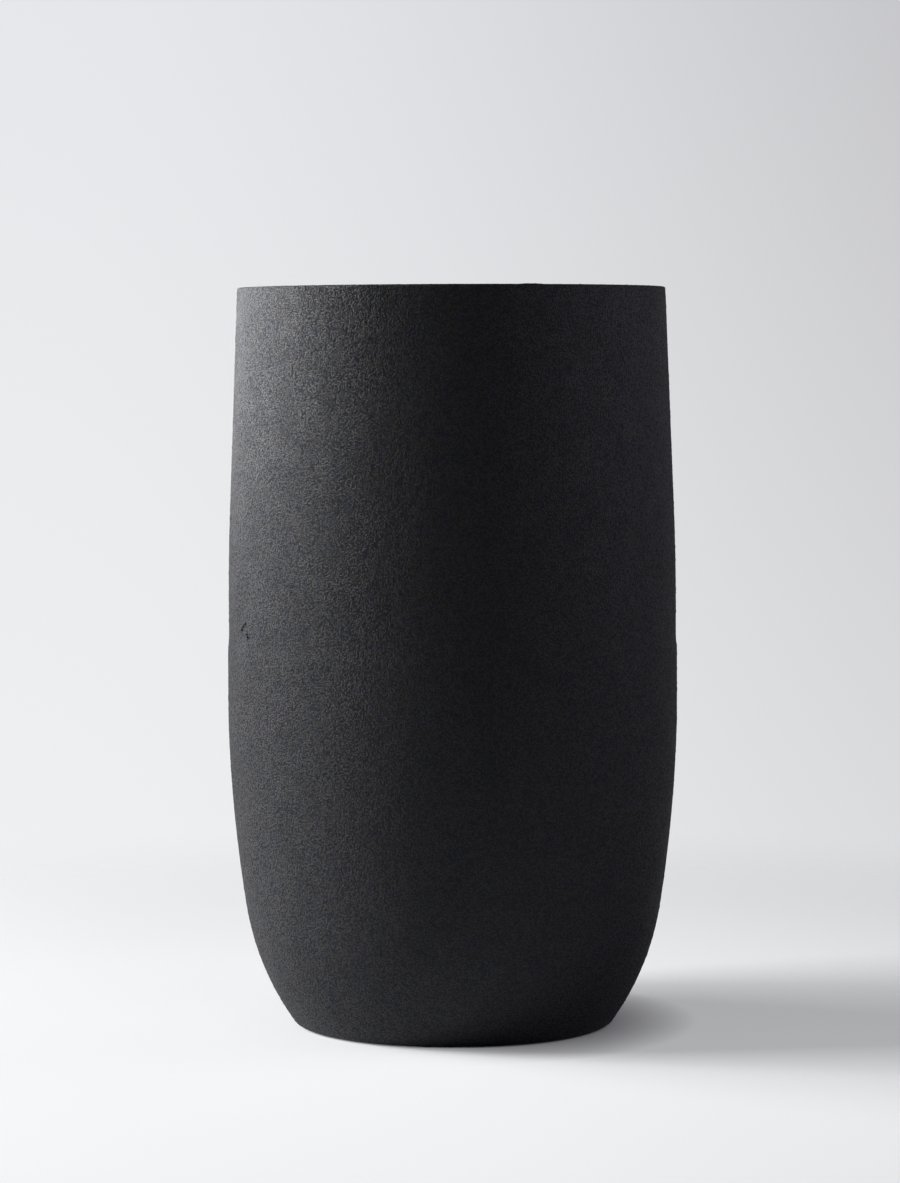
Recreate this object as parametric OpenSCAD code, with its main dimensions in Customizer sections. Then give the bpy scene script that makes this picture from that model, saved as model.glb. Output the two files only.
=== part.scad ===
// Tall iron planter: a coated sheet-iron shell and bowl, joined at the belly, with a lift-out
// galvanised liner on a shelf. The origin is on the floor, under the centre. +Z is up.

/* [Planter] */
// Height from the floor to the top of the rim
planter_h = 600; // [560:1:660]
// Outside diameter at the rim
rim_d = 347.4; // [330:0.2:360]
// Outside diameter of the bowl's straight skirt
belly_d = 366.4; // [362:0.2:390]
// Diameter of the circle on which the bowl's edge stands
base_d = 254; // [220:1:280]
// Thickness of the coated sheet
sheet_t = 2; // [1.2:0.1:2.6]

/* [Shell] */
// Height of the seam between bowl and shell
seam_z = 318; // [290:1:345]
// Step at the seam, by which the shell's radius is less than the bowl's
seam_step = 0.9; // [0:0.1:1]
// Straight height of the shell above the seam
straight_h = 28; // [24:1:60]
// Length of the tangents of the bend between the straight part and the taper
bend_h = 35; // [15:1:60]
// Rounding of the rim's outer edge, up to the sheet's own thickness
edge_r = 1.8; // [0.4:0.1:2.4]
// Width of the flat rim, with the sheet
rim_w = 12; // [8:0.5:18]
// Thickness of the ring in the mouth
rim_ring_t = 4; // [2.5:0.5:8]

/* [Bowl] */
// Straight height of the bowl's skirt below the seam
skirt_h = 70; // [30:1:100]
// Angle of the bend line under the skirt
skirt_bend = 1.4; // [0.4:0.2:3]
// Height above the floor where the side passes into the rounded foot
foot_h = 96; // [75:1:125]
// Angle between the side and vertical at that height
foot_angle = 9; // [6:0.5:13]
// Radius of the corner above the standing edge
corner_r = 5.5; // [3.5:0.5:12]
// Width of the flat standing edge
stand_w = 5; // [3:0.5:10]
// Height by which the base is pressed up inside the standing edge
base_rise = 5; // [3:0.5:10]

/* [Seam ring and brackets] */
// Height of the backing ring across the seam
ring_h = 40; // [24:1:46]
// Thickness of the backing ring
ring_t = 3; // [2:0.5:6]
// Width of a shelf bracket
bracket_w = 30; // [16:1:50]
// Thickness of a shelf bracket
bracket_t = 3; // [2:0.5:5]
// Height of a bracket's welded leg
bracket_h = 24; // [14:1:36]
// Height of the brackets' tops above the seam
bracket_rise = 6; // [-6:1:12]
// Width of shelf that lies on each bracket
bearing_w = 20; // [10:1:30]

/* [Drain and feet] */
// Bore of the drain bush
drain_d = 22; // [12:1:40]
// Wall of the drain bush
bush_wall = 4; // [2:0.5:8]
// Width of the bush's flange beyond its tube
bush_flange_w = 6; // [3:0.5:12]
// Thickness of the bush's flange
bush_flange_t = 2; // [1.5:0.5:4]
// Length of the bush below the base's underside
bush_drop = 2; // [0.5:0.5:3.5]
// Height of the plug's lower end above the bush's lower end
plug_inset = 1; // [0.5:0.5:2]
// Width by which the drain plug's head overlaps the bush
plug_head_lip = 4; // [2:0.5:8]
// Thickness of the drain plug's head
plug_head_t = 3; // [2:0.5:6]
// Diameter of the drain plug's knob
plug_knob_d = 16; // [12:1:24]
// Width by which the knob overhangs its neck
plug_knob_lip = 3; // [1:0.5:4]
// Thickness of the drain plug's knob
plug_knob_t = 5; // [3:0.5:10]
// Length of the neck between the plug's head and its knob
plug_neck_h = 5; // [2:0.5:12]
// Diameter of a foot pad
pad_d = 30; // [16:1:44]
// Height by which the pads stand proud of the bowl's edge
pad_proud = 0.6; // [0.4:0.1:3]

/* [Liner shelf] */
// Thickness of the shelf
shelf_t = 2; // [1:0.5:4]
// Height of the shelf's turned-up edge
shelf_edge_h = 8; // [4:1:20]
// Diameter of the finger hole in the middle of the shelf
finger_hole_d = 40; // [25:1:60]
// Diameter of the shelf's drain holes
shelf_hole_d = 12; // [6:1:20]
// Diameter of the circle of the shelf's drain holes
shelf_hole_circle_d = 200; // [120:1:240]
// Number of drain holes in the shelf
shelf_holes = 8; // [4:1:12]

/* [Liner] */
// Depth of the liner's edge below the planter's rim
liner_drop = 33; // [20:1:60]
// Thickness of the liner's sheet
liner_t = 1.2; // [0.8:0.1:2]
// Height of the liner's base above the lower edge of its wall
liner_base_h = 8; // [5:0.5:20]
// Diameter of the wire in the liner's rolled edge
rim_wire_d = 4; // [3:0.5:6]
// Diameter of the liner's drain holes
liner_hole_d = 10; // [5:1:16]
// Diameter of the circle of the liner's drain holes
liner_hole_circle_d = 160; // [90:1:220]
// Number of drain holes on that circle
liner_holes = 6; // [3:1:12]

/* [Handles] */
// Width of a handle between the middles of its legs
handle_w = 75; // [60:1:100]
// Length of a handle from its pivot to the middle of its grip
handle_l = 45; // [35:1:55]
// Diameter of the handle's wire
handle_wire_d = 5; // [3:0.5:7]
// Radius of the bends at the grip's ends, at the middle of the wire
grip_bend_r = 10; // [6:0.5:14]
// Radius of the bends at the pivot ends, at the middle of the wire
pivot_bend_r = 5; // [4:0.5:8]
// Depth of the pivots below the liner's edge
pivot_drop = 14; // [12:0.5:24]
// Thickness of an ear's plate
ear_t = 2; // [1:0.5:3]
// Height of an ear's plate
ear_h = 18; // [14:1:26]
// Length of an ear's plate beyond the handle's wire ends
ear_end = 2; // [0:0.5:6]
// Thickness of an ear's lug along the pivot
lug_w = 5; // [3:0.5:8]
// Wall of a lug around the pivot
lug_wall = 3; // [2:0.5:5]
// Diameter of a rivet's shank
rivet_d = 4; // [3:0.5:6]
// Diameter of a rivet's heads
rivet_head_d = 8; // [6:0.5:11]
// Height of a rivet's heads
rivet_head_h = 1.6; // [1:0.2:2.4]
// Distance between the two rivets of an ear
rivet_pitch = 40; // [20:1:60]

/* [Fits] */
// Gap between welded or seamed curved faces
weld_gap = 0.3; // [0.1:0.1:0.6]
// Gap round the shelf as it passes the mouth, or the seam ring where that is narrower
pass_gap = 4; // [2:0.5:8]
// Gap between the shelf and the brackets' tops
seat_gap = 0.1; // [0.05:0.05:0.5]
// Play of the liner inside the shelf's turned-up edge
liner_play = 6; // [2:0.5:10]
// Radial clearance of the plug in the bush, and of the handles in their lugs
running_gap = 0.08; // [0.04:0.01:0.1]
// Gap between the ends of a handle's wire and the curved plate behind them
handle_gap = 1.2; // [0.8:0.1:4]
// Gap along the pivot on each side of a lug
lug_gap = 1; // [0.5:0.1:2]
// Gap between the foot pads and the edge of the pressed-up base
pad_gap = 2; // [1:0.5:6]
// Gap round a rivet's shank, and round the wire in the rolled edge
rivet_gap = 0.15; // [0.1:0.05:0.3]

/* [Hidden] */

coat = [0.12, 0.12, 0.13];
inner_paint = [0.2, 0.2, 0.21];
galvanised = [0.66, 0.68, 0.7];
zinc_wire = [0.75, 0.76, 0.78];
black_rubber = [0.07, 0.07, 0.07];

round_fn = 144;
small_fn = 48;
// Steps of the profiles' arcs
bend_steps = 6;
side_steps = 8;
foot_steps = 10;
corner_steps = 4;
// Length by which a cutting body passes the faces that it cuts
over = 1;
// Small bends and broken edges
sheet_bend = 1;
rim_ring_edge = 1;
rubber_edge = 1;
knob_edge = 1.5;
// Where the brackets and the foot pads stand, round the planter
bracket_angles = [45, 135, 225, 315];
pad_angles = [45, 135, 225, 315];

rim_r = rim_d / 2;
belly_r = belly_d / 2;
shell_r = belly_r - seam_step;
base_r = base_d / 2;

// Shell: straight, then one bend, then a plain taper to the rim
straight_top = seam_z + straight_h;
taper = atan((shell_r - rim_r) / (planter_h - straight_top - bend_h));
bend_r = bend_h / tan(taper / 2);
edge = min(edge_r, 0.9 * sheet_t);
mouth_r = rim_r - rim_w;

// Bowl: straight skirt, bend line, long side arc, foot arc, corner
base_z = pad_proud;
bend_z = seam_z - skirt_h;
side_r = (bend_z - foot_h) / (sin(foot_angle) - sin(skirt_bend));
foot_top_r = belly_r - side_r * (cos(skirt_bend) - cos(foot_angle));
foot_in = foot_top_r - base_r;
foot_up = foot_h - base_z - corner_r;
foot_r = (pow(foot_in, 2) + pow(foot_up, 2) - pow(corner_r, 2))
    / (2 * (foot_in * cos(foot_angle) - foot_up * sin(foot_angle) - corner_r));
foot_cx = foot_top_r - foot_r * cos(foot_angle);
foot_cz = foot_h + foot_r * sin(foot_angle);
corner_angle = atan2(foot_cz - base_z - corner_r, base_r - foot_cx);
base_low = base_z + base_rise;
base_top = base_low + sheet_t;
riser_r = base_r - stand_w;
riser_shift = sheet_t * (sqrt(2) - 1);

// Seam ring and brackets
ring_up_r = shell_r - sheet_t - weld_gap;
ring_low_r = belly_r - sheet_t - weld_gap;
ring_in_r = min(ring_up_r, ring_low_r) - ring_t;
bracket_x = sqrt(pow(ring_in_r - weld_gap, 2) - pow(bracket_w / 2, 2));
bracket_top = seam_z + bracket_rise;

// Drain and feet
bush_r = drain_d / 2 + bush_wall;
bush_low = base_low - bush_drop;
bush_top = base_top + bush_flange_t;
pad_at = riser_r - base_rise - pad_gap - pad_d / 2;

// Shelf and liner
shelf_r = min(mouth_r, ring_in_r) - pass_gap;
shelf_z = bracket_top + seat_gap;
liner_z = shelf_z + shelf_t;
liner_top = planter_h - liner_drop;
liner_r = shelf_r - shelf_t - liner_play;
liner_in_r = liner_r - liner_t;
curl_r = rim_wire_d / 2 + rivet_gap + liner_t;
curl_x = liner_in_r + curl_r + rivet_gap;
curl_z = liner_top - curl_r;

// Handles, worked out for the right side and turned half a turn for the left
wire_r = handle_wire_d / 2;
plate_out_r = liner_in_r - weld_gap;
plate_in_r = plate_out_r - ear_t;
pivot_z = liner_top - pivot_drop;
leg_y = handle_w / 2;
lug_y = leg_y + pivot_bend_r + lug_gap;
lug_r = wire_r + running_gap + lug_wall;
trunnion_y = lug_y + lug_w + lug_gap;
pivot_x = sqrt(pow(plate_in_r, 2) - pow(trunnion_y, 2)) - handle_gap - wire_r;
ear_w = 2 * (trunnion_y + ear_end);
rivet_angle = asin(rivet_pitch / 2 / liner_in_r);

// Points of an arc round [x, y], from angle a0 to a1, in n steps, without its first skip points
function arc(x, y, r, a0, a1, n, skip = 0) =
    [for (i = [skip:n]) let (a = a0 + (a1 - a0) * i / n) [x + r * cos(a), y + r * sin(a)]];

function backwards(points) = [for (i = [len(points) - 1:-1:0]) points[i]];

// Outside radius of the tapered part of the shell at height z
function taper_at(z) = rim_r + (planter_h - z) * tan(taper);

// Side of the shell from the seam up, at depth d inside the outer face
function shell_side(d) = concat(
    [[shell_r - d, seam_z]],
    arc(shell_r - bend_r, straight_top, bend_r - d, 0, taper, bend_steps)
);

// Side of the bowl from the seam down to its standing edge, at depth d inside the outer face
function bowl_side(d) = concat(
    [[belly_r - d, seam_z], [belly_r - d, bend_z + d * tan(skirt_bend / 2)]],
    arc(belly_r - side_r * cos(skirt_bend), bend_z + side_r * sin(skirt_bend), side_r - d,
        -skirt_bend, -foot_angle, side_steps, 1),
    arc(foot_cx, foot_cz, foot_r - d, -foot_angle, -corner_angle, foot_steps, 1),
    arc(base_r, base_z + corner_r, corner_r - d, -corner_angle, -90, corner_steps, 1)
);

module turned(points, fn = round_fn) {
    rotate_extrude($fn = fn) polygon(points);
}

module upper_shell() {
    edge_x = taper_at(planter_h - edge) - edge / cos(taper);
    inner_x = taper_at(planter_h) - sheet_t / cos(taper);
    color(coat)
    turned(concat(
        shell_side(0),
        arc(edge_x, planter_h - edge, edge, taper, 90, corner_steps),
        [[inner_x, planter_h]],
        backwards(shell_side(sheet_t))
    ));
}

module rim_ring() {
    fit = sheet_t / cos(taper) + weld_gap;
    low = planter_h - rim_ring_t;
    color(coat)
    turned(concat(
        [[mouth_r, low], [taper_at(low) - fit, low], [taper_at(planter_h) - fit, planter_h]],
        arc(mouth_r + rim_ring_edge, planter_h - rim_ring_edge, rim_ring_edge, 90, 180, corner_steps)
    ));
}

module lower_bowl() {
    hole_r = bush_r + weld_gap;
    color(coat)
    turned(concat(
        bowl_side(0),
        [[riser_r, base_z], [riser_r - base_rise, base_low], [hole_r, base_low], [hole_r, base_top]],
        [[riser_r - base_rise + riser_shift, base_top], [riser_r + riser_shift, base_z + sheet_t]],
        backwards(bowl_side(sheet_t))
    ));
}

module seam_ring() {
    color(inner_paint)
    turned([
        [ring_in_r, seam_z - ring_h / 2],
        [ring_low_r, seam_z - ring_h / 2],
        [ring_low_r, seam_z - weld_gap],
        [min(ring_low_r, ring_up_r), seam_z],
        [ring_up_r, seam_z + weld_gap],
        [ring_up_r, seam_z + ring_h / 2],
        [ring_in_r, seam_z + ring_h / 2]
    ]);
}

// Angle bracket, bent from flat bar, with its long leg under the shelf
module shelf_bracket(number) {
    outer_bend = bracket_t + sheet_bend;
    tip_x = shelf_r - bearing_w;
    in_x = bracket_x - bracket_t;
    color(inner_paint)
    rotate([0, 0, bracket_angles[number - 1]])
    translate([0, bracket_w / 2, 0])
    rotate([90, 0, 0])
    linear_extrude(bracket_w)
    polygon(concat(
        [[bracket_x, bracket_top - bracket_h]],
        arc(bracket_x - outer_bend, bracket_top - outer_bend, outer_bend, 0, 90, corner_steps),
        [[tip_x, bracket_top], [tip_x, bracket_top - bracket_t]],
        arc(in_x - sheet_bend, bracket_top - outer_bend, sheet_bend, 90, 0, corner_steps),
        [[in_x, bracket_top - bracket_h]]
    ));
}

module drain_bush() {
    flange_r = bush_r + bush_flange_w;
    color(inner_paint)
    turned([
        [drain_d / 2, bush_low], [bush_r, bush_low], [bush_r, base_top],
        [flange_r, base_top], [flange_r, bush_top], [drain_d / 2, bush_top]
    ], small_fn);
}

module drain_plug() {
    stem_r = drain_d / 2 - running_gap;
    head_r = drain_d / 2 + plug_head_lip;
    knob_r = plug_knob_d / 2;
    neck_r = knob_r - plug_knob_lip;
    stem_low = bush_low + plug_inset;
    head_top = bush_top + plug_head_t;
    knob_low = head_top + plug_neck_h;
    knob_top = knob_low + plug_knob_t;
    color(black_rubber)
    turned(concat(
        [[0, stem_low], [stem_r - rubber_edge, stem_low], [stem_r, stem_low + rubber_edge]],
        [[stem_r, bush_top], [head_r, bush_top], [head_r, head_top - rubber_edge]],
        [[head_r - rubber_edge, head_top], [neck_r, head_top], [neck_r, knob_low]],
        arc(knob_r - knob_edge, knob_low + knob_edge, knob_edge, -90, 0, corner_steps),
        arc(knob_r - knob_edge, knob_top - knob_edge, knob_edge, 0, 90, corner_steps),
        [[0, knob_top]]
    ), small_fn);
}

module foot_pad(number) {
    color(black_rubber)
    rotate([0, 0, pad_angles[number - 1]])
    translate([pad_at, 0, 0])
    turned([
        [0, 0], [pad_d / 2 - rubber_edge, 0], [pad_d / 2, rubber_edge],
        [pad_d / 2, base_low], [0, base_low]
    ], small_fn);
}

module liner_shelf() {
    in_r = shelf_r - shelf_t;
    floor_z = shelf_z + shelf_t;
    top = shelf_z + shelf_edge_h;
    bend = shelf_t;
    color(galvanised)
    difference() {
        turned([
            [0, shelf_z], [shelf_r - bend, shelf_z], [shelf_r, shelf_z + bend], [shelf_r, top],
            [in_r, top], [in_r, floor_z + sheet_bend], [in_r - sheet_bend, floor_z], [0, floor_z]
        ]);
        translate([0, 0, shelf_z - over])
        cylinder(d = finger_hole_d, h = shelf_t + 2 * over, $fn = small_fn);
        for (i = [0:shelf_holes - 1])
            rotate([0, 0, (i + 0.5) * 360 / shelf_holes])
            translate([shelf_hole_circle_d / 2, 0, shelf_z - over])
            cylinder(d = shelf_hole_d, h = shelf_t + 2 * over, $fn = small_fn);
    }
}

// Hole of a rivet through what lies at radius r_from to r_to, at angle a round the planter
module rivet_hole(a, r_from, r_to) {
    rotate([0, 0, a])
    translate([r_from, 0, pivot_z])
    rotate([0, 90, 0])
    cylinder(d = rivet_d + 2 * rivet_gap, h = r_to - r_from, $fn = small_fn);
}

rivet_angles = [-rivet_angle, rivet_angle, 180 - rivet_angle, 180 + rivet_angle];

module liner_wall() {
    color(galvanised)
    difference() {
        rotate_extrude($fn = round_fn)
        difference() {
            union() {
                translate([liner_in_r, liner_z])
                square([liner_t, curl_z - liner_z]);
                translate([curl_x, curl_z])
                circle(r = curl_r, $fn = small_fn);
            }
            translate([curl_x, curl_z])
            circle(r = rim_wire_d / 2 + rivet_gap, $fn = small_fn);
        }
        for (a = rivet_angles)
            rivet_hole(a, liner_in_r - over, liner_r + over);
    }
}

module liner_base() {
    low = liner_z + liner_base_h - liner_t;
    out_r = liner_in_r - weld_gap;
    flange_low = liner_z + weld_gap;
    color(galvanised)
    difference() {
        turned([
            [0, low], [out_r - liner_t, low], [out_r - liner_t, flange_low], [out_r, flange_low],
            [out_r, low + liner_t], [0, low + liner_t]
        ]);
        translate([0, 0, low - over])
        cylinder(d = liner_hole_d, h = liner_t + 2 * over, $fn = small_fn);
        for (i = [0:liner_holes - 1])
            rotate([0, 0, i * 360 / liner_holes])
            translate([liner_hole_circle_d / 2, 0, low - over])
            cylinder(d = liner_hole_d, h = liner_t + 2 * over, $fn = small_fn);
    }
}

module liner_rim_wire() {
    color(zinc_wire)
    rotate_extrude($fn = round_fn)
    translate([curl_x, curl_z])
    circle(d = rim_wire_d, $fn = small_fn);
}

// Lug of an ear, with its bore along Y, from y to y + lug_w
module lug(y) {
    reach = plate_in_r + ear_t / 2 - pivot_x;
    translate([pivot_x, y, pivot_z])
    difference() {
        union() {
            rotate([-90, 0, 0])
            cylinder(r = lug_r, h = lug_w, $fn = small_fn);
            translate([0, 0, -lug_r])
            cube([reach, lug_w, 2 * lug_r]);
        }
        translate([0, -over, 0])
        rotate([-90, 0, 0])
        cylinder(r = wire_r + running_gap, h = lug_w + 2 * over, $fn = small_fn);
    }
}

// Ear on the right side: a curved plate on the liner's wall, with two lugs
module handle_ear(turn) {
    low = pivot_z - ear_h / 2;
    color(zinc_wire)
    rotate([0, 0, turn])
    difference() {
        intersection() {
            union() {
                turned([
                    [plate_in_r, low], [plate_out_r, low],
                    [plate_out_r, low + ear_h], [plate_in_r, low + ear_h]
                ]);
                lug(lug_y);
                lug(-lug_y - lug_w);
            }
            translate([pivot_x - lug_r - over, -ear_w / 2, low - over])
            cube([plate_out_r, ear_w, ear_h + 2 * over]);
            translate([0, 0, low - over])
            cylinder(r = plate_out_r, h = ear_h + 2 * over, $fn = round_fn);
        }
        for (a = [-rivet_angle, rivet_angle])
            rivet_hole(a, plate_in_r - over, plate_out_r + over);
    }
}

// One rivet along +X: a shank with a low round head at each end
module rivet() {
    head_r = rivet_head_d / 2;
    in_x = sqrt(pow(plate_in_r, 2) - pow(head_r, 2)) - rivet_gap;
    out_x = liner_r + rivet_gap;
    crown_r = (head_r + rivet_d / 2) / 2;
    side_h = rivet_head_h / 3;
    translate([0, 0, pivot_z])
    rotate([0, 90, 0])
    turned([
        [0, in_x - rivet_head_h], [crown_r, in_x - rivet_head_h], [head_r, in_x - side_h],
        [head_r, in_x], [rivet_d / 2, in_x], [rivet_d / 2, out_x], [head_r, out_x],
        [head_r, out_x + side_h], [crown_r, out_x + rivet_head_h], [0, out_x + rivet_head_h]
    ], small_fn);
}

module ear_rivets() {
    color(zinc_wire)
    for (a = rivet_angles)
        rotate([0, 0, a])
        rivet();
}

// Straight wire of length l along +Z from the origin
module wire(l) {
    cylinder(r = wire_r, h = l, $fn = small_fn);
}

// Quarter bend of radius r in the YZ plane: it starts at the origin going down and ends going +Y
module quarter_bend(r) {
    translate([0, r, 0])
    rotate([-90, 0, -90])
    rotate_extrude(angle = 90, $fn = small_fn)
    translate([r, 0])
    circle(r = wire_r, $fn = small_fn);
}

// Half of a handle, on the side of -Y, hung from its pivot at the origin
module half_handle() {
    leg_l = handle_l - pivot_bend_r - grip_bend_r;
    grip_l = leg_y - grip_bend_r;
    translate([0, -leg_y, -pivot_bend_r - leg_l])
    wire(leg_l);
    translate([0, -leg_y, -pivot_bend_r - leg_l])
    quarter_bend(grip_bend_r);
    translate([0, -grip_l, -handle_l])
    rotate([-90, 0, 0])
    wire(grip_l);
    translate([0, -leg_y, -pivot_bend_r])
    rotate([180, 0, 0])
    quarter_bend(pivot_bend_r);
    translate([0, -trunnion_y, 0])
    rotate([-90, 0, 0])
    wire(trunnion_y - leg_y - pivot_bend_r);
}

module liner_handle(turn) {
    color(zinc_wire)
    rotate([0, 0, turn])
    translate([pivot_x, 0, pivot_z]) {
        half_handle();
        mirror([0, 1, 0])
        half_handle();
    }
}

upper_shell();
rim_ring();
lower_bowl();
seam_ring();
shelf_bracket(1);  // shelf_bracket_1
shelf_bracket(2);  // shelf_bracket_2
shelf_bracket(3);  // shelf_bracket_3
shelf_bracket(4);  // shelf_bracket_4
drain_bush();
drain_plug();
foot_pad(1);  // foot_pad_1
foot_pad(2);  // foot_pad_2
foot_pad(3);  // foot_pad_3
foot_pad(4);  // foot_pad_4
liner_shelf();
liner_wall();
liner_base();
liner_rim_wire();
handle_ear(180);  // handle_ear_left
handle_ear(0);  // handle_ear_right
ear_rivets();
liner_handle(180);  // liner_handle_left
liner_handle(0);  // liner_handle_right
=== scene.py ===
"""Tall iron planter: its sand-textured coat, the finishes of its other pieces, floor, lamps and camera."""

import math

import bpy
import numpy as np
from mathutils import Matrix, Vector


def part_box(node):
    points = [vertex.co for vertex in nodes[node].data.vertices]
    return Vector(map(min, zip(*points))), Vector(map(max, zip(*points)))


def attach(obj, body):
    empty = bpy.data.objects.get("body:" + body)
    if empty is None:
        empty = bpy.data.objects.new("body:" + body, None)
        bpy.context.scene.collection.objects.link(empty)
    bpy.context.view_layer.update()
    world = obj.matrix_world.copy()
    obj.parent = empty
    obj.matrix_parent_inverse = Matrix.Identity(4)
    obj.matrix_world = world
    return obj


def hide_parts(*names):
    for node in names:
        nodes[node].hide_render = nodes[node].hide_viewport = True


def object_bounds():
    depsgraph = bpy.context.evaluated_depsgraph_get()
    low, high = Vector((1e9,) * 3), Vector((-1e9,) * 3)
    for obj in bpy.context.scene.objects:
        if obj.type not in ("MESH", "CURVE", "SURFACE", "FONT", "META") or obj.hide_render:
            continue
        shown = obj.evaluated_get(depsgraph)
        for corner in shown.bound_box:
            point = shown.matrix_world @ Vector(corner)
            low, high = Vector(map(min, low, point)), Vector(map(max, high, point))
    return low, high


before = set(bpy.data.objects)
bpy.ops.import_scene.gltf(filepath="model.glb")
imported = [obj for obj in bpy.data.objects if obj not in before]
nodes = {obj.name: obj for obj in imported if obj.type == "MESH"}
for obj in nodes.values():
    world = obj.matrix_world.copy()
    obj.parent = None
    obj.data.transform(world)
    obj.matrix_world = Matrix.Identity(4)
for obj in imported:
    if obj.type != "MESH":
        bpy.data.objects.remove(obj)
cad_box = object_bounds()
MM = 0.001

# Photograph's height in pixels, and the camera: sensor in millimetres, place in metres, angles in degrees
PHOTO_H = 1183
SENSOR = 36
FOCAL_PX = 3724.4
CAMERA_AT = (-0.00187, -3.0309, 0.5491)
CAMERA_DOWN = 3.7154
CAMERA_ROLL = 0.2053
CAMERA_FAR = 100

# Columns round the outside of the coat's meshes, and the distance between their rows outside and inside
COLUMNS = 544
ROW_PITCH = 2.02 * MM
PLAIN_PITCH = 22 * MM
# Largest turn between two rows on a curve, and smallest turn that is kept as a sharp corner
MAX_TURN = 0.22
SHARP = math.radians(32)
# Points per corner of a section while its curves are worked out, and how far apart two corners are at least
CURVE_STEPS = 24
CORNER_GAP = 0.03 * MM
# A face of a section is outside where its normal points out by this much, or up by this much near the top
OUTWARD = 0.15
UPWARD = 0.5
TOP_BAND = 6 * MM

# Sandy relief of the coat's meshes
COAT_INSET = 0.34 * MM
RELIEF = 0.075 * MM
RELIEF_LIMITS = (-2.5 * RELIEF, 2.2 * RELIEF)
GRAIN_SHARE = 0.03
GRAIN_RISE = 0.42 * MM
# Share of a row and of a column by which a vertex may leave its place, and the even band below the top
SCATTER = 0.28
EVEN_BAND = 4 * MM
# Height over which the coat fills the step at the seam, and how near to the seam's height a row lies on it
SEAM_RAMP = 14 * MM
SAME_HEIGHT = 0.01 * MM

# Most of a noise's values lie between these
NOISE_SPAN = (0.3, 0.7)

# Material of the coat: its grain, its gloss and its tint, with scales per metre
GRAIN_SCALE = 760
GRAIN_SIZES = 0.3
WAVE_SCALE = 250
WAVE_SHARE = 0.25
GRAIN_BUMP = 0.5 * MM
# Grain tops and hollows: in the hollows the colour is three times paler and the gloss is turned far down as
# painted shade
HOLLOW_EDGE = (0.45, 0.95)
HOLLOW_SHADE = 3.0
SHADED_HOLLOW_GLOSS = 0.03
COAT_GLOSS = 0.48
COAT_ROUGH = 0.74
ROUGH_DRIFT = 0.03
ROUGH_SCALE = 38
TINT_SCALE = 170
TINT_SPAN = (0.35, 0.65)
COAT_WARM = (0.0060, 0.0058, 0.0065)
COAT_COOL = (0.0055, 0.0058, 0.0078)
# Painted shade in the pits: near-black colour and no gloss, faded in over this span of the pit share
PIT_SHADE_COLOR = (0.001, 0.001, 0.001)
PIT_EDGE = (0.15, 0.6)

# Materials of the inside: colours from dark or plain to pale or dusty, scales per metre, spans of roughness
PRIMER = ((0.042, 0.042, 0.044), (0.062, 0.060, 0.058))
PRIMER_DUST = (0.35, 0.75)
PRIMER_DUST_SCALE = 24
PRIMER_ROUGH = (0.48, 0.62)
PEEL_SCALE = 240
PEEL_BUMP = 0.12 * MM
SPANGLE = ((0.22, 0.232, 0.245), (0.30, 0.312, 0.325))
SPANGLE_SCALE = 95
SPANGLE_BEND = 0.05
SPANGLE_BEND_SCALE = 55
SPANGLE_ROUGH = 0.12
SPANGLE_HEIGHT = 0.25
STREAK = (0.34, 0.352, 0.362)
STREAK_SCALE = 420
STREAK_SPAN = (0.35, 0.75)
STREAK_SHARE = 0.3
STREAK_ROUGH = (0.48, 0.58)
STREAK_BUMP = 0.03 * MM
GALVANISED_METAL = 0.3
ZINC = ((0.50, 0.50, 0.50), (0.62, 0.63, 0.65))
ZINC_SCALE = 90
ZINC_ROUGH = (0.34, 0.46)
ZINC_METAL = 0.8
ZINC_BUMP_SCALE = 900
ZINC_BUMP = 0.02 * MM
RUBBER = ((0.018, 0.018, 0.018), (0.035, 0.034, 0.032))
RUBBER_DUST = (0.45, 0.8)
RUBBER_DUST_SCALE = 60
RUBBER_ROUGH = (0.62, 0.75)
MOULD_SCALE = 700
MOULD_BUMP = 0.05 * MM

# Pits of the coat near the seam: azimuth from the front in degrees, height in metres
PITS = [(-64.7, 0.3322), (-66.4, 0.3291), (-67.2, 0.3267), (-63.8, 0.3238), (-63.4, 0.3211)]
PIT_ACROSS = 1.7 * MM
PIT_UP = 1.0 * MM
PIT_DEPTH = 1.4 * MM
# Reach of a pit's search and of the ring round its middle, and how far inside the pit the ring counts
PIT_SEARCH = 2 * ROW_PITCH
PIT_RING = 1.7 * ROW_PITCH
RING_INSIDE = 0.4

# Worn edge of the rim, and the low nib of coat on its front between two azimuths in degrees
RIM_BAND = 3 * MM
RIM_DROP = 0.4 * MM
NIB_AT = (17.4, 24.2)
NIB_RISE = 0.42 * MM
NIB_BAND = 2.5 * MM
NIB_SLOPE = 1.6

# Welds of the inner ironwork
SHEET = 2 * MM
WELD_SIZE = 1.7 * MM
WELD_IN = 0.5 * MM
WELD_RIPPLE = 1.6 * MM
RIPPLE_DEPTH = 0.16
WELD_UNEVEN = 0.02
WELD_TIP = 0.02
BEAD_SIDES = 10
STITCHES = 12
STITCH_LENGTH = 30 * MM
STITCH_RINGS = 60
STITCH_STRAY = 0.01
UPRIGHT_RINGS = 40
BRACKETS = ["shelf_bracket_1", "shelf_bracket_2", "shelf_bracket_3", "shelf_bracket_4"]
# Folded seam of the liner wall: radius and heights, and its section as (across, proud) corners in millimetres
LINER_R = 149.7 * MM
LOCK_Z = (0.3365, 0.5590)
LOCK_RINGS = 40
LOCK_PROFILE = [(-4.2, -0.3), (-4.2, 0.3), (-3.9, 0.75), (-3.2, 1.0), (-1.2, 1.05), (1.2, 1.05), (3.2, 1.0),
                (3.9, 0.75), (4.2, 0.3), (4.2, -0.3)]

# Seeds of the random draws
SEEDS = {
    "shell_coat": 11,
    "bowl_coat": 12,
    "rim_ring_coat": 13,
    "seam": 7,
    "ring_welds": 21,
    "bracket_welds": 22,
}

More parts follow.
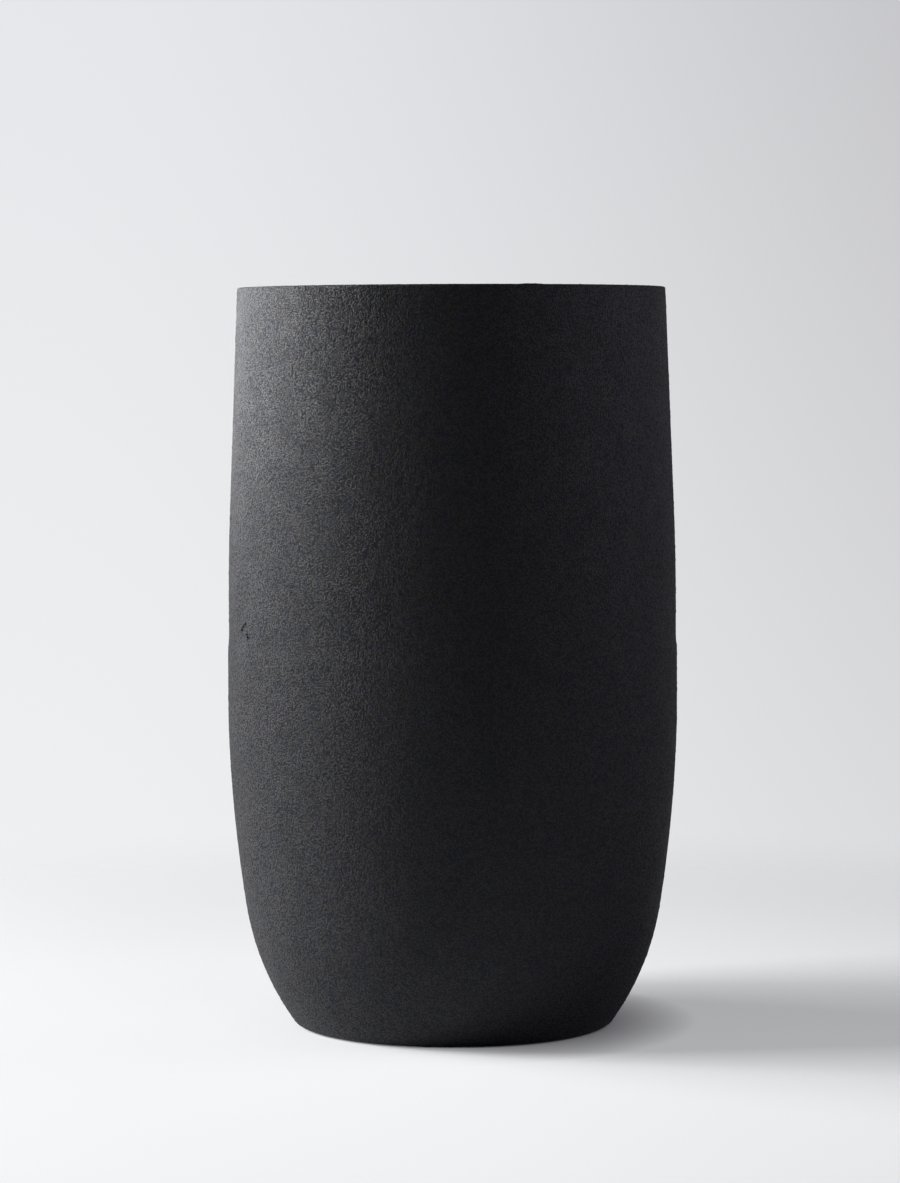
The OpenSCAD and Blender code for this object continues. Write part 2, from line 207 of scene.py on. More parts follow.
# Floor, in metres: its radius and the distances over which it fades out
FLOOR_R = 6.0
FLOOR_SIDES = 128
FLOOR_FADE = (0.6, 1.25)
FLOOR_COLOR = (0.850, 0.855, 0.865)
FLOOR_ROUGH = 0.9
FLOOR_GLOSS = 0.15
PAPER_SCALE = 700
PAPER_BUMP = 0.05 * MM
# Of what the camera sees of the floor: the share that the lamps light, and painted light that only the camera
# sees, brighter at the front and darker at the left
FLOOR_SHARE = 0.50
FLOOR_TINT = (0.985, 0.995, 1.0)
GLOW_DEPTH = (-0.8, 0.2)
GLOW_FRONT = 0.431
GLOW_BACK = 0.326
GLOW_ACROSS = (-0.5, 0.1)
GLOW_LEFT = -0.055
# Painted shade: the painted light on the floor is darkened by ambient occlusion where the object stands over
# the floor, more on the side away from the lamps
CONTACT_SHADE_REACH = 0.06
CONTACT_SHADE_ACROSS = (-0.02, 0.13)
CONTACT_SHADE_POWER = (0.12, 1.5)
# Backdrop as the camera sees it, by the direction of its rays, and where the object's gloss shows it
BACK_ACROSS = (-0.12, 0.28)
BACK_UP = (-0.15, 0.09)
BACK_LEFT = ((0.867, 0.874, 0.887), (0.793, 0.802, 0.827))
BACK_RIGHT = ((0.647, 0.646, 0.656), (0.453, 0.449, 0.471))
BACK_MIRRORED = (0.55, 0.95)

# Lamps: name, azimuth, elevation, distance, width, height, watts, height that it faces, spread and colour
COOL = (1.0, 0.98, 1.12)
LAMPS = [
    ("window", -86, 35, 3.0, 1.0, 1.0, 116.5, 0.3),
    ("window_behind", -108, 20, 3.0, 1.3, 1.3, 77.3, 0.3),
    ("key", -105, 10, 0.7, 0.3, 0.3, 1.87, 0.58, 50),
    ("key_low", -95, 5, 0.85, 0.4, 0.4, 0.89, 0.5, 90),
    ("key_foot", -100, 4, 1.2, 0.4, 0.4, 0.58, 0.06, 40),
    ("fill", 80, 15, 1.2, 0.8, 0.8, 1.03, 0.5, 100, COOL),
    ("fill_behind", 95, 25, 1.2, 0.8, 0.8, 1.24, 0.5, 100, COOL),
    ("fill_front", 20, 20, 1.5, 0.6, 0.6, 0.15, 0.62, 30),
]


def smoothstep(x):
    x = np.clip(x, 0, 1)
    return x * x * (3 - 2 * x)


def around(angle):
    """The angle brought between minus and plus half a turn."""
    return (angle + math.pi) % (2 * math.pi) - math.pi


def unit_rows(vectors):
    return vectors / np.linalg.norm(vectors, axis=1)[:, None]


def new_piece(name, verts, faces):
    """Smooth mesh object with sharp corners kept."""
    mesh = bpy.data.meshes.new(name)
    mesh.from_pydata(verts, [], faces)
    mesh.update()
    mesh.validate()
    mesh.shade_smooth()
    mesh.set_sharp_from_angle(angle=SHARP)
    piece = bpy.data.objects.new(name, mesh)
    bpy.context.scene.collection.objects.link(piece)
    return piece


# Sections of the coated nodes

def section_loop(node):
    """Corners of a turned node's section as (radius, height), anticlockwise, from the frame's mesh."""
    mesh = nodes[node].data
    co = np.array([v.co for v in mesh.vertices])
    flat = np.column_stack([np.hypot(co[:, 0], co[:, 1]), co[:, 2]])
    rings, of_vertex = [], []
    for p in flat:
        near = [i for i, q in enumerate(rings) if abs(p - q).max() < CORNER_GAP]
        if not near:
            rings.append(p)
        of_vertex.append(near[0] if near else len(rings) - 1)
    neighbours = {i: set() for i in range(len(rings))}
    for edge in mesh.edges:
        a, b = (of_vertex[v] for v in edge.vertices)
        if a != b:
            neighbours[a].add(b)
            neighbours[b].add(a)
    order = [0]
    while len(order) < len(rings):
        order.append(next(i for i in neighbours[order[-1]] if i not in order))
    loop = np.array([rings[i] for i in order])
    after = np.roll(loop, -1, 0)
    area = (loop[:, 0] * after[:, 1] - after[:, 0] * loop[:, 1]).sum()
    return loop if area > 0 else loop[::-1]


def hermite(p, q, tp, tq, n):
    """n points from p up to, but without, q."""
    t = np.linspace(0, 1, n, endpoint=False)[:, None]
    length = np.linalg.norm(q - p)
    return ((2 * t ** 3 - 3 * t ** 2 + 1) * p + (t ** 3 - 2 * t ** 2 + t) * tp * length
            + (3 * t ** 2 - 2 * t ** 3) * q + (t ** 3 - t ** 2) * tq * length)


def smooth_runs(loop):
    """The section's smooth runs between its sharp corners, each as closely spaced points."""
    n = len(loop)
    step = np.roll(loop, -1, 0) - loop
    length = np.linalg.norm(step, axis=1)
    ahead = step / length[:, None]
    behind = np.roll(ahead, 1, 0)
    turn = np.arccos(np.clip((ahead * behind).sum(1), -1, 1))
    sharp = turn > SHARP
    blend = unit_rows(ahead * length[:, None] + behind * np.roll(length, 1)[:, None])
    first = int(np.argmax(sharp))
    runs, run = [], []
    for k in range(first, first + n):
        i, j = k % n, (k + 1) % n
        leave = ahead[i] if sharp[i] else blend[i]
        arrive = ahead[i] if sharp[j] else blend[j]
        run.append(hermite(loop[i], loop[j], leave, arrive, CURVE_STEPS))
        if sharp[j]:
            runs.append(np.vstack([*run, loop[j][None]]))
            run = []
    return runs


def is_outside(normal, z, top):
    """True where a face of the section shows from outside."""
    return (normal[:, 0] > OUTWARD) | ((z > top - TOP_BAND) & (normal[:, 1] > UPWARD))


def stations(run, top):
    """Places of the mesh rows along a run: points, normals, and whether each is on an outside face."""
    step = np.diff(run, axis=0)
    length = np.linalg.norm(step, axis=1)
    along = np.concatenate([[0], np.cumsum(length)])
    ahead = step / length[:, None]
    normal = np.column_stack([ahead[:, 1], -ahead[:, 0]])
    shown = is_outside(normal, run[:-1, 1], top)
    angle = np.arctan2(ahead[:, 1], ahead[:, 0])
    bend = np.abs(np.diff(np.unwrap(angle), append=angle[-1:])) / length
    bend[-1] = 0
    cost = np.maximum(1 / np.where(shown, ROW_PITCH, PLAIN_PITCH), bend / MAX_TURN) * length
    total = np.concatenate([[0], np.cumsum(cost)])
    at = np.interp(np.linspace(0, total[-1], max(2, math.ceil(total[-1]) + 1)), total, along)
    point = np.column_stack([np.interp(at, along, run[:, k]) for k in (0, 1)])
    middle = (along[:-1] + along[1:]) / 2
    turned = unit_rows(np.column_stack([np.interp(at, middle, normal[:, k]) for k in (0, 1)]))
    return point, turned, np.interp(at, middle, shown.astype(float)) > 0.5


def coat_rows(node, shape=None):
    """All rows of a coat mesh round the section: points, normals and outside flags."""
    loop = section_loop(node)
    top = loop[:, 1].max()
    points, normals, shown = [], [], []
    for run in smooth_runs(loop):
        p, n, s = stations(run, top)
        if points:
            corner = normals[-1][-1] + n[0]
            normals[-1][-1] = corner / np.linalg.norm(corner)
            shown[-1][-1] |= s[0]
            p, n, s = p[1:], n[1:], s[1:]
        points.append(p)
        normals.append(n)
        shown.append(s)
    points, normals, shown = np.vstack(points), np.vstack(normals), np.concatenate(shown)
    corner = normals[0] + normals[-1]
    normals[0] = corner / np.linalg.norm(corner)
    shown[0] |= shown[-1]
    points, normals, shown = points[:-1], normals[:-1], shown[:-1]
    if shape:
        points = shape(points)
    return points, normals, shown


def soften_seam(points):
    """Shapes the bowl's upper edge down to the shell's radius, as the coat fills the step there."""
    points = points.copy()
    outside = (points[:, 0] > shell_r) & (points[:, 1] > seam_z - 2 * SEAM_RAMP)
    rise = smoothstep((seam_z - points[:, 1]) / SEAM_RAMP)
    points[outside, 0] = (shell_r + (points[:, 0] - shell_r) * rise)[outside]
    return points


# Meshes of the coat

def column_counts(shown):
    """Columns of each row: all on outside faces, and halved twice away from them, round the loop."""
    n = len(shown)
    away = np.full(n, n)
    for i in np.flatnonzero(shown):
        gap = np.abs(np.arange(n) - i)
        away = np.minimum(away, np.minimum(gap, n - gap))
    return COLUMNS // 2 ** np.minimum(away, 2)


def strip(low, high, n_low, n_high, odd):
    """Triangles between two rows that start at vertices low and high; odd says that high is shifted."""
    if n_low == n_high:
        i = np.arange(n_low)
        j = (i + 1) % n_low
        if odd:
            return np.vstack([np.column_stack([low + i, low + j, high + i]),
                              np.column_stack([low + j, high + j, high + i])])
        return np.vstack([np.column_stack([low + i, high + j, high + i]),
                          np.column_stack([low + i, low + j, high + j])])
    if n_low > n_high:
        i = np.arange(n_high)
        j = (i + 1) % n_high
        even, mid, nxt = low + 2 * i, low + 2 * i + 1, low + (2 * i + 2) % n_low
        return np.vstack([np.column_stack([even, mid, high + i]), np.column_stack([mid, high + j, high + i]),
                          np.column_stack([mid, nxt, high + j])])
    return strip(high, low, n_high, n_low, odd)[:, ::-1]


def relief(rng, rows):
    """Height of the sandy relief at each vertex of the rows with all columns."""
    height = rng.normal(0, RELIEF, (rows, COLUMNS))
    grains = rng.random((rows, COLUMNS)) < GRAIN_SHARE
    height = np.clip(height, *RELIEF_LIMITS) + grains * GRAIN_RISE * rng.random((rows, COLUMNS))
    return np.minimum(height, COAT_INSET)


def press_pits(azimuth, z, r, height, shown):
    """Presses in the vertex in the middle of each pit, and returns how far inside a pit each vertex is."""
    hollow = np.zeros_like(height)
    for deg, pit_z in PITS:
        across, up = around(azimuth - math.radians(deg)) * r, z - pit_z
        gap = np.hypot(across, up) + np.where(shown, 0, 1)[:, None]
        if gap.min() > PIT_SEARCH:
            continue
        middle = np.unravel_index(np.argmin(gap), gap.shape)
        rest = np.hypot(across - across[middle], up - up[middle])
        ring = (rest > 0) & (rest < PIT_RING) & shown[:, None]
        way = np.arctan2(up - up[middle], across - across[middle])
        azimuth[ring] = math.radians(deg) + PIT_ACROSS * np.cos(way[ring]) / r[ring]
        z[ring] = pit_z + PIT_UP * np.sin(way[ring])
        azimuth[middle], z[middle] = math.radians(deg), pit_z
        height[middle] = -PIT_DEPTH
        hollow[ring] = RING_INSIDE
        hollow[middle] = 1
    return hollow


def shape_rim(azimuth, z, high, top):
    """Heights with the rim's edge worn down and the nib of coat raised on it."""
    edge = z[high]
    z[high] -= RIM_DROP * smoothstep((edge - top + RIM_BAND) / RIM_BAND)
    start, end = (math.radians(a) for a in NIB_AT)
    aside = np.abs(around(azimuth - (start + end) / 2)) / ((end - start) / 2)
    on_edge = smoothstep((z - top + RIM_BAND) / NIB_BAND)
    z += NIB_RISE * smoothstep(NIB_SLOPE * (1 - aside)) * on_edge * high[:, None]
    return np.minimum(z, top)


def coat_surface(points, normals, shown, counts, seed):
    """Azimuth, height, radius and pit share of all vertices, and by how many columns each row is shifted."""
    rows = len(points)
    top = points[:, 1].max()
    at_seam = shown & (np.abs(points[:, 1] - seam_z) < SAME_HEIGHT)
    normals[at_seam] = (1, 0)
    loose = shown & np.roll(shown, 1) & np.roll(shown, -1) & ~at_seam & (points[:, 1] < top - EVEN_BAND)
    outside = np.where(shown, 1.0, 0.0)[:, None]
    rng = np.random.default_rng(seed)
    height = relief(rng, rows) * outside
    scatter = rng.uniform(-SCATTER, SCATTER, (2, rows, COLUMNS)) * loose[:, None]
    column = np.arange(COLUMNS)
    turn = 2 * math.pi / COLUMNS
    shift = 0.5 * (np.arange(rows) % 2)
    azimuth = (column[None] + shift[:, None]) * turn + scatter[0] * turn
    z = np.repeat(points[:, 1:2], COLUMNS, 1) + scatter[1] * ROW_PITCH * normals[:, :1]
    r = np.repeat(points[:, :1], COLUMNS, 1) - scatter[1] * ROW_PITCH * normals[:, 1:]
    shift[at_seam | (counts < COLUMNS)] = 0
    azimuth[at_seam] = column * turn
    height[at_seam] = relief(np.random.default_rng(SEEDS["seam"]), 1)[0]
    hollow = press_pits(azimuth, z, r, height, shown)
    raised = height - COAT_INSET * outside
    z = z + raised * normals[:, 1:]
    r = r + raised * normals[:, :1]
    if top > rim_top - TOP_BAND:
        z = shape_rim(azimuth, z, shown & (points[:, 1] > top - RIM_BAND), top)
    return azimuth, z, r, hollow, shift


def coat_mesh(name, node, shape=None):
    """Turned mesh that stands for a coated node: fine and sandy outside, plain inside."""
    points, normals, shown = coat_rows(node, shape)
    counts = column_counts(shown)
    azimuth, z, r, hollow, shift = coat_surface(points, normals, shown, counts, SEEDS[name])
    verts, inside = [], []
    for i, n in enumerate(counts):
        keep = slice(None, None, COLUMNS // n)
        a = azimuth[i, keep] if n == COLUMNS else np.arange(n) * 2 * math.pi / n
        verts.append(np.column_stack([r[i, keep] * np.sin(a), -r[i, keep] * np.cos(a), z[i, keep]]))
        inside.append(hollow[i, keep])
    starts = np.concatenate([[0], np.cumsum(counts)])
    faces = []
    for i in range(len(points)):
        j = (i + 1) % len(points)
        faces.append(strip(starts[i], starts[j], counts[i], counts[j], shift[j] >= shift[i]))
    piece = new_piece(name, np.vstack(verts).tolist(), np.vstack(faces).tolist())
    # The pit share carries the painted shade of the pits into the coat's material
    piece.data.attributes.new("pit", "FLOAT", "POINT").data.foreach_set("value", np.concatenate(inside))
    piece.data.materials.append(finishes["coated_iron"])
    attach(piece, "planter")
    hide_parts(node)


# Small pieces of the inside

def bead(centres, radii):
    """Vertices and faces of a closed round bead through the centres."""
    ahead = unit_rows(np.gradient(centres, axis=0))
    out = unit_rows(centres * (1, 1, 0))
    across = np.cross(ahead, out)
    turn = np.arange(BEAD_SIDES) * 2 * math.pi / BEAD_SIDES
    ring = np.cos(turn)[:, None] * out[:, None] + np.sin(turn)[:, None] * across[:, None]
    verts = (centres[:, None] + radii[:, None, None] * ring).reshape(-1, 3)
    last = (len(centres) - 1) * BEAD_SIDES
    faces = [list(range(BEAD_SIDES))[::-1], list(range(last, last + BEAD_SIDES))]
    for low in range(0, last, BEAD_SIDES):
        for i in range(BEAD_SIDES):
            j = (i + 1) % BEAD_SIDES
            faces.append([low + i, low + j, low + BEAD_SIDES + j, low + BEAD_SIDES + i])
    return verts, faces


def weld(path, rng):
    """Rippled weld along an evenly spaced path, rounded off at its ends."""
    length = np.linalg.norm(path[1] - path[0]) * (len(path) - 1)
    at = np.linspace(0, length, len(path))
    ripple = np.abs(np.sin(math.pi * at / WELD_RIPPLE + rng.uniform(0, math.pi)))
    ends = np.clip(np.minimum(at, length - at) / WELD_SIZE, WELD_TIP, 1)
    radius = WELD_SIZE * (1 - RIPPLE_DEPTH * ripple) * np.sqrt(1 - (1 - ends) ** 2)
    return bead(path, radius * (1 + rng.normal(0, WELD_UNEVEN, len(path))))


def joined(name, parts, slot, body):
    """One piece from several parts' vertices and faces."""
    verts, faces = [], []
    for v, f in parts:
        faces += [[i + len(verts) for i in face] for face in f]
        verts += v.tolist()
    piece = new_piece(name, verts, faces)
    piece.data.materials.append(finishes[slot])
    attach(piece, body)


def ring_welds():
    """Stitch welds that hold the seam ring to the shell and the bowl."""
    low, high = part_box("seam_ring")
    rng = np.random.default_rng(SEEDS["ring_welds"])
    parts = []
    for z, r in ((high.z, shell_r - SHEET - WELD_IN), (low.z, high.x - WELD_IN)):
        for k in range(STITCHES):
            middle = 2 * math.pi * (k + 0.5) / STITCHES + rng.normal(0, STITCH_STRAY)
            half = STITCH_LENGTH / 2 / r
            a = np.linspace(middle - half, middle + half, STITCH_RINGS)
            parts.append(weld(np.column_stack([r * np.cos(a), r * np.sin(a), np.full(STITCH_RINGS, z)]), rng))
    joined("seam_ring_welds", parts, "inner_iron", "planter")


def bracket_welds():
    """Upright welds down both sides of each shelf bracket."""
    rng = np.random.default_rng(SEEDS["bracket_welds"])
    parts = []
    for name in BRACKETS:
        co = np.array([v.co for v in nodes[name].data.vertices])
        out = co.mean(0) * (1, 1, 0)
        out /= np.linalg.norm(out)
        side = np.array([-out[1], out[0], 0])
        half = (co @ side).max()
        wall = (co @ out).max()
        foot_z, head_z = co[:, 2].min() + WELD_SIZE, co[:, 2].max() - 2 * WELD_SIZE
        for way in (-1, 1):
            path = np.tile(wall * out + way * half * side, (UPRIGHT_RINGS, 1))
            path[:, 2] = np.linspace(foot_z, head_z, UPRIGHT_RINGS)
            parts.append(weld(path, rng))
    joined("bracket_welds", parts, "inner_iron", "planter")


def lock_seam():
    """Folded upright seam that closes the liner's rolled wall, at the back."""
    across, proud = np.array(LOCK_PROFILE).T * MM
    a = math.pi / 2 - across / LINER_R
    r = LINER_R + proud
    n = len(a)
    heights = np.linspace(*LOCK_Z, LOCK_RINGS)
    rings = np.array([np.column_stack([r * np.cos(a), r * np.sin(a), np.full(n, z)]) for z in heights])
    last = (LOCK_RINGS - 1) * n
    faces = [list(range(n)), list(range(last, last + n))[::-1]]
    for low in range(0, last, n):
        for i in range(n):
            j = (i + 1) % n
            faces.append([low + i, low + n + i, low + n + j, low + j])
    joined("liner_lock_seam", [(rings.reshape(-1, 3), faces)], "galvanised_sheet", "liner")


# Materials

class Nodes:
    """Adds nodes to a node tree."""

    def __init__(self, tree, coordinates):
        self.tree = tree
        self.place = self.add("ShaderNodeTexCoord").outputs[coordinates]

    def add(self, kind, **inputs):
        node = self.tree.nodes.new(kind)
        for key, value in inputs.items():
            self.put(node.inputs[key.replace("_", " ")], value)
        return node

    def put(self, socket, value):
        if isinstance(value, bpy.types.NodeSocket):
            self.tree.links.new(value, socket)
        else:
            socket.default_value = value

    def noise(self, scale, detail=2.0, roughness=0.5):
        return self.add("ShaderNodeTexNoise", Vector=self.place, Scale=scale, Detail=detail,
                        Roughness=roughness).outputs["Fac"]

    def math(self, kind, a, b=0.0, c=0.0):
        node = self.tree.nodes.new("ShaderNodeMath")
        node.operation = kind
        for socket, value in zip(node.inputs, (a, b, c)):
            self.put(socket, value)
        return node.outputs[0]

    def ramp(self, value, low, high, to_low=0.0, to_high=1.0, curve="SMOOTHSTEP"):
        node = self.add("ShaderNodeMapRange", Value=value)
        node.interpolation_type = curve
        for key, number in (("From Min", low), ("From Max", high), ("To Min", to_low), ("To Max", to_high)):
            self.put(node.inputs[key], number)
        return node.outputs[0]

    def mix(self, factor, a, b, kind="MIX"):
        node = self.tree.nodes.new("ShaderNodeMix")
        node.data_type = "RGBA"
        node.blend_type = kind
        for key, value in (("Factor_Float", factor), ("A_Color", a), ("B_Color", b)):
            socket = next(s for s in node.inputs if s.identifier == key)
            self.put(socket, (*value, 1) if isinstance(value, tuple) else value)
        return next(s for s in node.outputs if s.identifier == "Result_Color")

    def first_channel(self, color):
        return self.add("ShaderNodeSeparateColor", Color=color).outputs[0]


class Finish(Nodes):
    """Builds the node tree of one material."""

    def __init__(self, name):
        self.material = bpy.data.materials.new(name)
        self.material.use_nodes = True
        super().__init__(self.material.node_tree, "Object")
        self.shader = self.tree.nodes["Principled BSDF"]

    def bump(self, height, distance):
        return self.add("ShaderNodeBump", Height=height, Distance=distance).outputs[0]

    def shade(self, **inputs):
        for key, value in inputs.items():
            value = (*value, 1) if isinstance(value, tuple) else value
            self.put(self.shader.inputs[key.replace("_", " ")], value)
        return self.material


def sand_coat():
    """Matt near-black coat: its grains shine softly, its hollows are paler in colour with their gloss turned
    down as painted shade, its pits are painted near-black as painted shade, its tint drifts.
    """
    m = Finish("coated_iron")
    cells = m.add("ShaderNodeTexVoronoi", Vector=m.place, Scale=GRAIN_SCALE).outputs
    dome = m.math("SUBTRACT", 1.0, cells["Distance"])
    grain = m.math("MULTIPLY_ADD", m.first_channel(cells["Color"]), GRAIN_SIZES, dome)
    shape = m.math("MULTIPLY_ADD", m.noise(WAVE_SCALE, detail=1.0), WAVE_SHARE, grain)
    raised = m.ramp(grain, *HOLLOW_EDGE)
    tint = m.mix(m.ramp(m.noise(TINT_SCALE, detail=0.0), *TINT_SPAN), COAT_WARM, COAT_COOL)
    color = m.mix(raised, m.mix(1.0, tint, (HOLLOW_SHADE,) * 3, "MULTIPLY"), tint)
    drift = m.noise(ROUGH_SCALE)
    rough = m.ramp(drift, *NOISE_SPAN, COAT_ROUGH - ROUGH_DRIFT, COAT_ROUGH + ROUGH_DRIFT)
    # Painted shade in the pits: their colour goes near-black and their gloss goes to nothing
    pit = m.tree.nodes.new("ShaderNodeAttribute")
    pit.attribute_name = "pit"
    whole = m.math("SUBTRACT", 1.0, m.ramp(pit.outputs["Fac"], *PIT_EDGE))
    color = m.mix(whole, PIT_SHADE_COLOR, color)
    # Gloss turned down in the grain's hollows as painted shade, and off in the pits
    gloss = m.math("MULTIPLY", m.math("MULTIPLY_ADD", raised, COAT_GLOSS - SHADED_HOLLOW_GLOSS, SHADED_HOLLOW_GLOSS), whole)
    normal = m.bump(shape, GRAIN_BUMP)
    return m.shade(Base_Color=color, Roughness=rough, Specular_IOR_Level=gloss, Normal=normal)


def primer():
    """Dark satin primer with a slight orange peel and some dust, inside the planter."""
    m = Finish("inner_iron")
    peel = m.noise(PEEL_SCALE)
    dust = m.ramp(m.noise(PRIMER_DUST_SCALE, detail=4.0, roughness=0.6), *PRIMER_DUST)
    color = m.mix(dust, *PRIMER)
    rough = m.ramp(peel, *NOISE_SPAN, *PRIMER_ROUGH)
    return m.shade(Base_Color=color, Roughness=rough, Normal=m.bump(peel, PEEL_BUMP))


def galvanised():
    """Dull galvanised sheet with a frosted spangle and fine streaks."""
    m = Finish("galvanised_sheet")
    bend = m.add("ShaderNodeTexNoise", Vector=m.place, Scale=SPANGLE_BEND_SCALE, Detail=2.0).outputs["Color"]
    warped = m.mix(SPANGLE_BEND, m.place, bend, "ADD")
    spangle = m.add("ShaderNodeTexVoronoi", Vector=warped, Scale=SPANGLE_SCALE).outputs["Color"]
    grey = m.first_channel(spangle)
    streaks = m.noise(STREAK_SCALE, detail=3.0, roughness=0.6)
    color = m.mix(m.ramp(streaks, *STREAK_SPAN, 0.0, STREAK_SHARE), m.mix(grey, *SPANGLE), STREAK)
    streak_rough = m.ramp(streaks, *NOISE_SPAN, *STREAK_ROUGH)
    rough = m.math("ADD", m.math("MULTIPLY", grey, SPANGLE_ROUGH), streak_rough)
    height = m.math("ADD", m.math("MULTIPLY", grey, SPANGLE_HEIGHT), streaks)
    normal = m.bump(height, STREAK_BUMP)
    return m.shade(Base_Color=color, Metallic=GALVANISED_METAL, Roughness=rough, Normal=normal)


def zinc_plate():
    """Bright zinc plate on wire, ears and rivets, a little dulled by handling."""
    m = Finish("zinc_wire")
    cloud = m.noise(ZINC_SCALE, detail=3.0)
    color = m.mix(m.ramp(cloud, *NOISE_SPAN), *ZINC)
    rough = m.ramp(cloud, *NOISE_SPAN, *ZINC_ROUGH)
    normal = m.bump(m.noise(ZINC_BUMP_SCALE), ZINC_BUMP)
    return m.shade(Base_Color=color, Metallic=ZINC_METAL, Roughness=rough, Normal=normal)


def rubber():
    """Matt black moulded rubber with some dust."""
    m = Finish("black_rubber")
    mould = m.noise(MOULD_SCALE)
    dust = m.ramp(m.noise(RUBBER_DUST_SCALE, detail=3.0), *RUBBER_DUST)
    color = m.mix(dust, *RUBBER)
    rough = m.ramp(mould, *NOISE_SPAN, *RUBBER_ROUGH)
    return m.shade(Base_Color=color, Roughness=rough, Normal=m.bump(mould, MOULD_BUMP))


FINISHES = {
    "coated_iron": sand_coat,
    "inner_iron": primer,
    "galvanised_sheet": galvanised,
    "zinc_wire": zinc_plate,
    "black_rubber": rubber,
}


# Studio

def floor_finish():
    """Pale matt paper, lit partly by the lamps and partly by painted light that only the camera sees, with
    painted shade near the object, that turns clear farther out.
    """
    m = Finish("floor")
    camera_ray = m.add("ShaderNodeLightPath").outputs["Is Camera Ray"]
    axes = m.add("ShaderNodeSeparateXYZ", Vector=m.place).outputs
    # Painted light on the floor: brighter towards the front and darker on the left
    depth = m.ramp(axes["Y"], *GLOW_DEPTH, GLOW_FRONT, GLOW_BACK)
    glow = m.math("ADD", depth, m.ramp(axes["X"], *GLOW_ACROSS, GLOW_LEFT, 0.0))
    # Painted shade: the camera-only glow darkens near the object by ambient occlusion
    contact_ao = m.add("ShaderNodeAmbientOcclusion", Distance=CONTACT_SHADE_REACH).outputs["AO"]
    glow = m.math("MULTIPLY", glow, m.math("POWER", contact_ao, m.ramp(axes["X"], *CONTACT_SHADE_ACROSS, *CONTACT_SHADE_POWER)))
    seen_color = tuple(FLOOR_SHARE * c for c in FLOOR_COLOR)
    m.shade(Base_Color=m.mix(camera_ray, FLOOR_COLOR, seen_color), Roughness=FLOOR_ROUGH,
            Specular_IOR_Level=FLOOR_GLOSS, Normal=m.bump(m.noise(PAPER_SCALE), PAPER_BUMP),
            Emission_Color=FLOOR_TINT, Emission_Strength=m.math("MULTIPLY", camera_ray, glow))
    flat = m.add("ShaderNodeVectorMath", Vector=m.place)
    flat.operation = "MULTIPLY"
    flat.inputs[1].default_value = (1, 1, 0)
    away = m.add("ShaderNodeVectorMath", Vector=flat.outputs[0])
    away.operation = "LENGTH"
    both = m.tree.nodes.new("ShaderNodeMixShader")
    m.put(both.inputs[0], m.ramp(away.outputs["Value"], *FLOOR_FADE))
    m.put(both.inputs[1], m.shader.outputs[0])
    m.put(both.inputs[2], m.add("ShaderNodeBsdfTransparent").outputs[0])
    m.put(m.tree.nodes["Material Output"].inputs["Surface"], both.outputs[0])
    return m.material


def pale_floor():
    """Round floor under the object."""
    turns = np.arange(FLOOR_SIDES) * 2 * math.pi / FLOOR_SIDES
    rim = [(FLOOR_R * math.cos(a), FLOOR_R * math.sin(a), 0.0) for a in turns]
    faces = [(0, 1 + i, 1 + (i + 1) % FLOOR_SIDES) for i in range(FLOOR_SIDES)]
    mesh = bpy.data.meshes.new("floor")
    mesh.from_pydata([(0.0, 0.0, 0.0), *rim], [], faces)
    mesh.materials.append(floor_finish())
    floor = bpy.data.objects.new("floor", mesh)
    bpy.context.scene.collection.objects.link(floor)


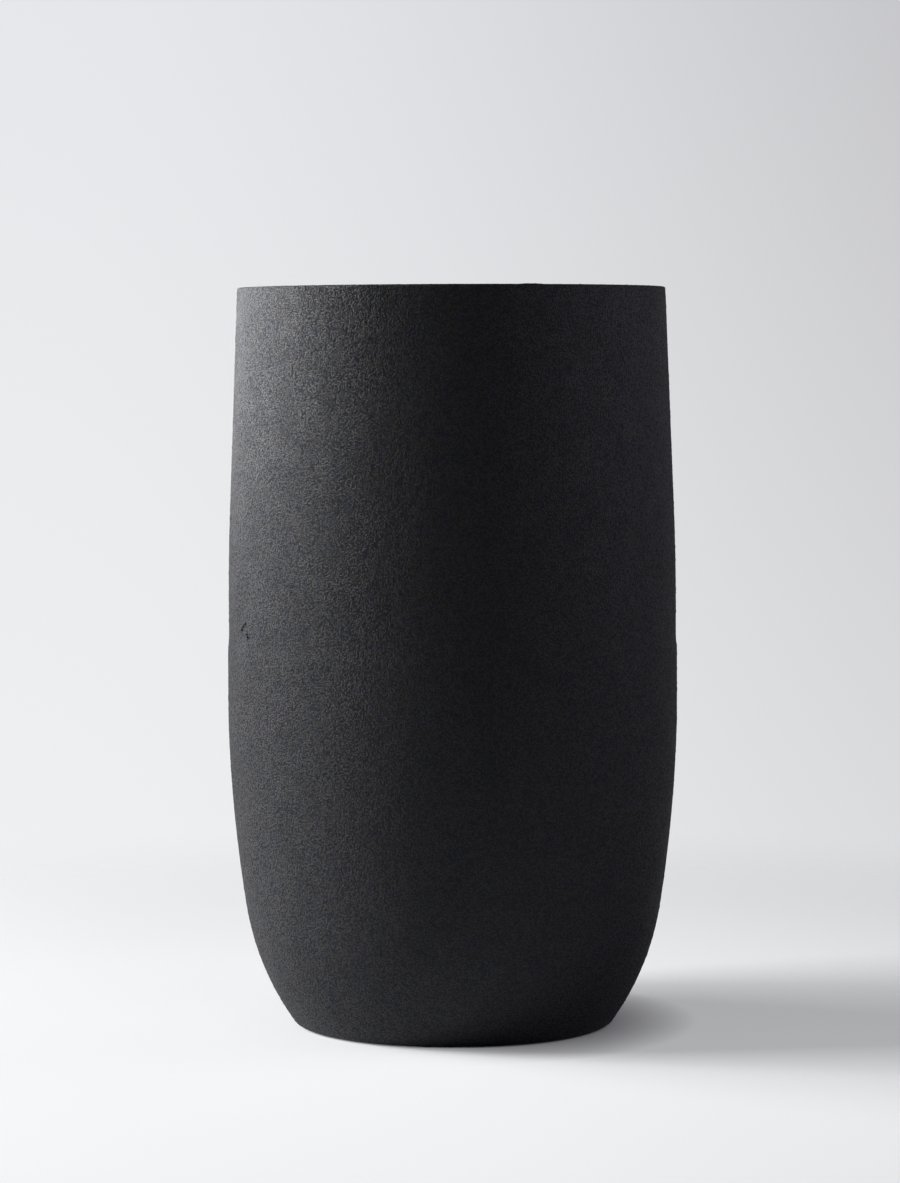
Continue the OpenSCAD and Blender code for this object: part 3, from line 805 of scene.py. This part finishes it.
def studio_world():
    """Pale backdrop gradient for the camera and, from behind, for gloss; it gives no other light."""
    world = bpy.data.worlds.new("studio")
    bpy.context.scene.world = world
    world.use_nodes = True
    m = Nodes(world.node_tree, "Generated")
    axes = m.add("ShaderNodeSeparateXYZ", Vector=m.place).outputs
    up = m.ramp(axes["Z"], *BACK_UP, curve="LINEAR")
    shades = m.mix(m.ramp(axes["X"], *BACK_ACROSS), m.mix(up, *BACK_LEFT), m.mix(up, *BACK_RIGHT))
    rays = m.add("ShaderNodeLightPath").outputs
    mirrored = m.math("MAXIMUM", rays["Is Glossy Ray"], rays["Is Transmission Ray"])
    behind = m.ramp(axes["Y"], *BACK_MIRRORED, curve="LINEAR")
    shown = m.math("MAXIMUM", rays["Is Camera Ray"], m.math("MULTIPLY", mirrored, behind))
    background = world.node_tree.nodes["Background"]
    m.put(background.inputs["Color"], shades)
    m.put(background.inputs["Strength"], shown)


def lamp(name, azimuth, elevation, distance, width, height, power, aim_z, spread=180, color=(1.0, 1.0, 1.0)):
    """Soft rectangular lamp; azimuth 0 is the camera's side and -90 the left."""
    data = bpy.data.lights.new(name, "AREA")
    data.shape = "RECTANGLE"
    data.size, data.size_y = width, height
    data.energy = power
    data.color = color
    data.spread = math.radians(spread)
    light = bpy.data.objects.new(name, data)
    bpy.context.scene.collection.objects.link(light)
    a, e = math.radians(azimuth), math.radians(elevation)
    way = Vector((math.sin(a) * math.cos(e), -math.cos(a) * math.cos(e), math.sin(e)))
    light.location = Vector((0, 0, aim_z)) + way * distance
    light.rotation_mode = "QUATERNION"
    light.rotation_quaternion = way.to_track_quat("Z", "Y")
    light.visible_camera = False


def camera():
    """Camera at the photograph's angle and framing."""
    data = bpy.data.cameras.new("camera")
    data.sensor_width = SENSOR
    data.lens = SENSOR * FOCAL_PX / PHOTO_H
    data.clip_end = CAMERA_FAR
    cam = bpy.data.objects.new("camera", data)
    bpy.context.scene.collection.objects.link(cam)
    tilt = Matrix.Rotation(math.radians(90 - CAMERA_DOWN), 4, "X")
    roll = Matrix.Rotation(math.radians(-CAMERA_ROLL), 4, "Z")
    cam.matrix_world = Matrix.Translation(CAMERA_AT) @ tilt @ roll
    bpy.context.scene.camera = cam


# The object

camera()
finishes = {name: make() for name, make in FINISHES.items()}
for node in nodes.values():
    for held in node.material_slots:
        held.material = finishes[held.material.name.split(".")[0]]

rim_top = cad_box[1][2]
seam_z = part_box("upper_shell")[0].z
shell_r = section_loop("upper_shell")[:, 0].max()
coat_mesh("shell_coat", "upper_shell")
coat_mesh("bowl_coat", "lower_bowl", soften_seam)
coat_mesh("rim_ring_coat", "rim_ring")
ring_welds()
bracket_welds()
lock_seam()

# Its surroundings

pale_floor()
studio_world()
for row in LAMPS:
    lamp(*row)
bpy.context.scene.view_settings.view_transform = "Standard"
